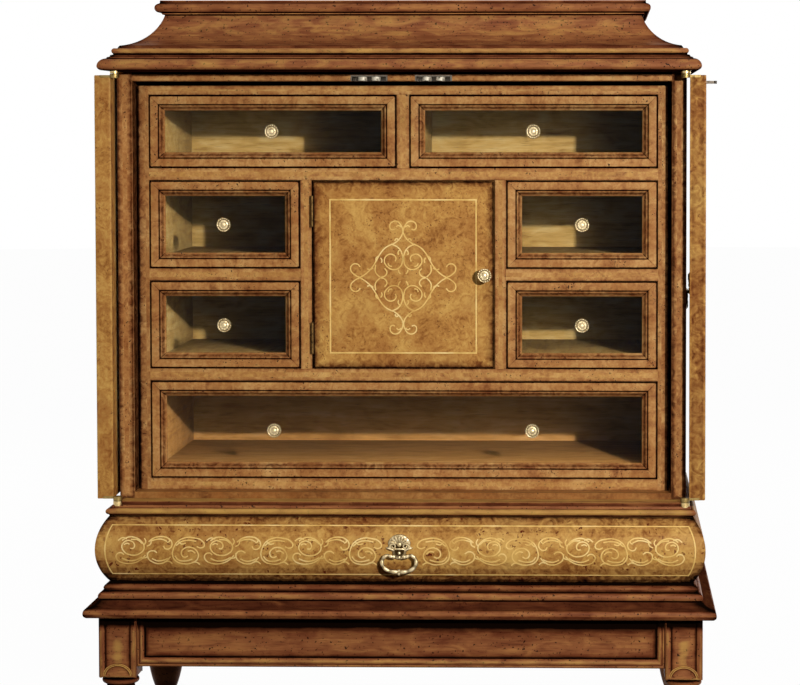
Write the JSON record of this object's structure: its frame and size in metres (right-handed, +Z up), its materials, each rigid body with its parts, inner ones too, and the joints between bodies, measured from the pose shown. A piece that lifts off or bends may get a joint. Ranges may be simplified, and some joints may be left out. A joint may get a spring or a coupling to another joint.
{
  "type": "cabinet on stand",
  "caption": "Caddy-topped collector's cabinet with folded-back doors and glass-fronted drawers round a marquetry cupboard, on a bombe drawer stand with turned feet.",
  "frame": {"origin": "on the floor, under the middle of the whole object's box", "axes": "+Z up, +X to the viewer's right, the front faces -Y"},
  "size_m": [0.806, 0.406, 0.938],
  "materials": {
    "antiqued_walnut": "antiqued, waxed",
    "marquetry_panel": "inlaid, waxed",
    "drawer_oak": "plain, sealed",
    "antique_brass": "aged, lacquered",
    "window_glass": "clear"
  },
  "bodies": {
    "cabinet": {"front_legs": "antiqued_walnut", "rear_legs": "antiqued_walnut", "aprons": "antiqued_walnut", "base_moulding": "antiqued_walnut", "frieze_rails": "antiqued_walnut", "stand_top": "antiqued_walnut", "case_sides": "antiqued_walnut", "case_bottom": "antiqued_walnut", "case_top": "antiqued_walnut", "cornice": "antiqued_walnut", "caddy_top": "antiqued_walnut", "nest_sides": "antiqued_walnut", "nest_shelves": "antiqued_walnut", "nest_partitions": "antiqued_walnut", "case_back": "drawer_oak", "door_hinge_case_leaves": "antique_brass", "catch_housings": "antique_brass", "cupboard_hinge_fixed_leaves": "antique_brass"},
    "left_door": {"left_door": "antiqued_walnut", "left_door_hinge_leaves": "antique_brass", "left_door_strike": "antique_brass", "left_door_pull_plate": "antique_brass"},
    "left_door_bail": {"left_door_bail": "antique_brass"},
    "right_door": {"right_door": "antiqued_walnut", "right_door_hinge_leaves": "antique_brass", "right_door_strike": "antique_brass", "right_door_pull_plate": "antique_brass"},
    "right_door_bail": {"right_door_bail": "antique_brass"},
    "cupboard_door": {"cupboard_door": "marquetry_panel", "cupboard_door_knob": "antique_brass", "cupboard_hinge_moving_leaves": "antique_brass"},
    "stand_drawer": {"stand_drawer_front": "antiqued_walnut", "stand_drawer_box": "drawer_oak", "stand_drawer_pull_plate": "antique_brass"},
    "stand_drawer_bail": {"stand_drawer_bail": "antique_brass"},
    "top_left_drawer": {"top_left_drawer": "antiqued_walnut", "top_left_drawer_glass": "window_glass", "top_left_drawer_knob": "antique_brass"},
    "top_right_drawer": {"top_right_drawer": "antiqued_walnut", "top_right_drawer_glass": "window_glass", "top_right_drawer_knob": "antique_brass"},
    "upper_left_drawer": {"upper_left_drawer": "antiqued_walnut", "upper_left_drawer_glass": "window_glass", "upper_left_drawer_knob": "antique_brass"},
    "upper_right_drawer": {"upper_right_drawer": "antiqued_walnut", "upper_right_drawer_glass": "window_glass", "upper_right_drawer_knob": "antique_brass"},
    "lower_left_drawer": {"lower_left_drawer": "antiqued_walnut", "lower_left_drawer_glass": "window_glass", "lower_left_drawer_knob": "antique_brass"},
    "lower_right_drawer": {"lower_right_drawer": "antiqued_walnut", "lower_right_drawer_glass": "window_glass", "lower_right_drawer_knob": "antique_brass"},
    "bottom_drawer": {"bottom_drawer": "antiqued_walnut", "bottom_drawer_glass": "window_glass", "bottom_drawer_knobs": "antique_brass"},
    "left_catch_inner_roller": {"left_catch_inner_roller": "antique_brass"},
    "left_catch_outer_roller": {"left_catch_outer_roller": "antique_brass"},
    "right_catch_inner_roller": {"right_catch_inner_roller": "antique_brass"},
    "right_catch_outer_roller": {"right_catch_outer_roller": "antique_brass"}
  },
  "joints": [
    {"name": "left_door_hinge", "type": "hinge", "parent": "cabinet", "child": "left_door", "pos_m": [-0.352, -0.166, 0.58], "axis": [0, 0, -1], "range_deg": [-267.8, 0]},
    {"name": "left_door_bail_swing", "type": "hinge", "parent": "left_door", "child": "left_door_bail", "pos_m": [-0.36271, 0.15182, 0.558], "axis": [0.0384, -0.9993, 0], "range_deg": [0, 12]},
    {"name": "right_door_hinge", "type": "hinge", "parent": "cabinet", "child": "right_door", "pos_m": [0.352, -0.166, 0.58], "axis": [0, 0, 1], "range_deg": [-267.8, 0]},
    {"name": "right_door_bail_swing", "type": "hinge", "parent": "right_door", "child": "right_door_bail", "pos_m": [0.36271, 0.15182, 0.558], "axis": [0.0384, 0.9993, 0], "range_deg": [0, 12]},
    {"name": "cupboard_door_hinge", "type": "hinge", "parent": "cabinet", "child": "cupboard_door", "pos_m": [-0.114, -0.1177, 0.595], "axis": [0, 0, -1], "range_deg": [0, 90]},
    {"name": "stand_drawer_slide", "type": "slide", "parent": "cabinet", "child": "stand_drawer", "axis": [0, -1, 0], "range_m": [0, 0.23]},
    {"name": "stand_drawer_bail_swing", "type": "hinge", "parent": "stand_drawer", "child": "stand_drawer_bail", "pos_m": [0, -0.196, 0.252], "axis": [-1, 0, 0], "range_deg": [0, 85]},
    {"name": "top_left_drawer_slide", "type": "slide", "parent": "cabinet", "child": "top_left_drawer", "axis": [0, -1, 0], "range_m": [0, 0.19]},
    {"name": "top_right_drawer_slide", "type": "slide", "parent": "cabinet", "child": "top_right_drawer", "axis": [0, -1, 0], "range_m": [0, 0.19]},
    {"name": "upper_left_drawer_slide", "type": "slide", "parent": "cabinet", "child": "upper_left_drawer", "axis": [0, -1, 0], "range_m": [0, 0.19]},
    {"name": "upper_right_drawer_slide", "type": "slide", "parent": "cabinet", "child": "upper_right_drawer", "axis": [0, -1, 0], "range_m": [0, 0.19]},
    {"name": "lower_left_drawer_slide", "type": "slide", "parent": "cabinet", "child": "lower_left_drawer", "axis": [0, -1, 0], "range_m": [0, 0.19]},
    {"name": "lower_right_drawer_slide", "type": "slide", "parent": "cabinet", "child": "lower_right_drawer", "axis": [0, -1, 0], "range_m": [0, 0.19]},
    {"name": "bottom_drawer_slide", "type": "slide", "parent": "cabinet", "child": "bottom_drawer", "axis": [0, -1, 0], "range_m": [0, 0.19]},
    {"name": "left_catch_inner_roller_spring", "type": "slide", "parent": "cabinet", "child": "left_catch_inner_roller", "axis": [1, 0, 0], "range_m": [0, 0.0025], "stiffness_N_per_m": 200},
    {"name": "left_catch_outer_roller_spring", "type": "slide", "parent": "cabinet", "child": "left_catch_outer_roller", "axis": [-1, 0, 0], "range_m": [0, 0.0025], "stiffness_N_per_m": 200},
    {"name": "right_catch_inner_roller_spring", "type": "slide", "parent": "cabinet", "child": "right_catch_inner_roller", "axis": [-1, 0, 0], "range_m": [0, 0.0025], "stiffness_N_per_m": 200},
    {"name": "right_catch_outer_roller_spring", "type": "slide", "parent": "cabinet", "child": "right_catch_outer_roller", "axis": [1, 0, 0], "range_m": [0, 0.0025], "stiffness_N_per_m": 200}
  ]
}
